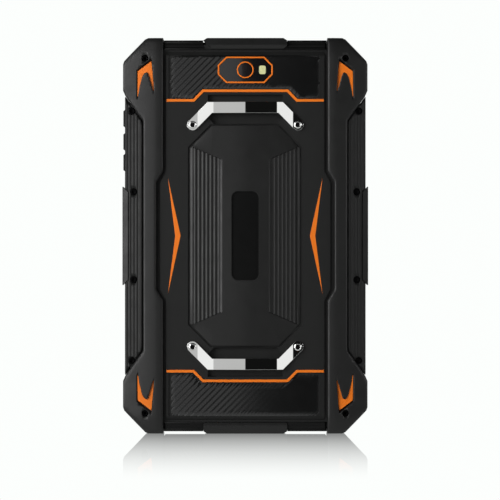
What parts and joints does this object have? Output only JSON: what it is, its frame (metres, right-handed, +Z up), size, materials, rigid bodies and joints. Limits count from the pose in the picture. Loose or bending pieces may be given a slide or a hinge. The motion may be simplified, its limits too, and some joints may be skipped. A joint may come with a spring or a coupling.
{
  "type": "rugged tablet data collector",
  "caption": "Rugged handheld tablet data collector with rubber corner bumpers, camera, side keys, port cover and two steel hand-strap brackets on its back.",
  "frame": {"origin": "below the middle of the case, on the surface that the upright tablet stands on", "axes": "+Z up along the case's height, +Y out of the screen, -Y out of the back with the strap brackets, +X to the right seen from the back"},
  "size_m": [0.1406, 0.018, 0.226],
  "materials": {
    "case_plastic": "fine moulded grain",
    "bumper_rubber": "matte, slightly rough",
    "pad_rubber": "matte",
    "panel_plastic": "satin with slanting ribs",
    "label_film": "satin film",
    "orange_trim": "satin",
    "window_black": "gloss",
    "lens_glass": "coated",
    "flash_plastic": "clear, pale yellow",
    "chrome": "polished",
    "screw_steel": "black zinc plated",
    "screen_glass": "hardened, gloss",
    "lcd": "satin",
    "magnesium": "die cast",
    "seal_rubber": "matte",
    "battery_film": "satin film",
    "board_green": "solder mask",
    "tin_plate": "tin plated",
    "component_black": "moulded",
    "ceramic": "fired ceramic",
    "polyimide": "film",
    "led_phosphor": "satin"
  },
  "bodies": {
    "housing": {"rear_cover": "case_plastic", "front_frame": "case_plastic", "chassis": "magnesium", "housing_seal": "seal_rubber", "bumper_left": "bumper_rubber", "bumper_right": "bumper_rubber", "rib_rail_left": "case_plastic", "rib_rail_right": "case_plastic", "side_insert_left": "bumper_rubber", "side_insert_right": "bumper_rubber", "top_edge_trim": "case_plastic", "bottom_edge_trim": "case_plastic", "bottom_guard": "bumper_rubber", "palm_pad": "pad_rubber", "label_plate": "label_film", "texture_panel_top": "panel_plastic", "texture_panel_bottom": "panel_plastic", "trim_line_top": "orange_trim", "trim_line_bottom": "orange_trim", "chevron_left": "orange_trim", "chevron_right": "orange_trim", "claw_top_left": "orange_trim", "claw_top_right": "orange_trim", "claw_bottom_left": "orange_trim", "claw_bottom_right": "orange_trim", "camera_frame": "orange_trim", "camera_window": "window_black", "lens_ring": "orange_trim", "lens_glass": "lens_glass", "camera_module": "component_black", "flash_lens": "flash_plastic", "flash_led": "led_phosphor", "strap_bracket_top": "chrome", "strap_bracket_bottom": "chrome", "bracket_screws": "chrome", "corner_screws": "screw_steel", "rail_screws": "screw_steel", "touch_glass": "screen_glass", "display_gasket": "seal_rubber", "lcd_panel": "lcd", "display_flex": "polyimide", "battery_pack": "battery_film", "main_board": "board_green", "shield_cans": "tin_plate", "board_screws": "tin_plate", "usb_c_receptacle": "tin_plate", "audio_jack": "component_black", "card_socket": "tin_plate", "speaker": "component_black", "vibration_motor": "tin_plate", "gnss_antenna": "ceramic", "key_board": "board_green", "key_domes": "tin_plate", "front_camera": "component_black", "cover_anchor": "bumper_rubber"},
    "port_cover": {"port_cover": "bumper_rubber"},
    "power_key": {"power_key": "case_plastic"},
    "volume_up_key": {"volume_up_key": "case_plastic"},
    "volume_down_key": {"volume_down_key": "case_plastic"}
  },
  "joints": [
    {"name": "port_cover_hinge", "type": "hinge", "parent": "housing", "child": "port_cover", "pos_m": [0.022, 0, 0.2257], "axis": [0, 1, 0], "range_deg": [0, 110]},
    {"name": "power_key_press", "type": "slide", "parent": "housing", "child": "power_key", "axis": [1, 0, 0], "range_m": [0, 0.0004], "stiffness_N_per_m": 2500, "springref_m": -0.0002},
    {"name": "volume_up_key_press", "type": "slide", "parent": "housing", "child": "volume_up_key", "axis": [1, 0, 0], "range_m": [0, 0.0004], "stiffness_N_per_m": 2500, "springref_m": -0.0002},
    {"name": "volume_down_key_press", "type": "slide", "parent": "housing", "child": "volume_down_key", "axis": [1, 0, 0], "range_m": [0, 0.0004], "stiffness_N_per_m": 2500, "springref_m": -0.0002}
  ]
}
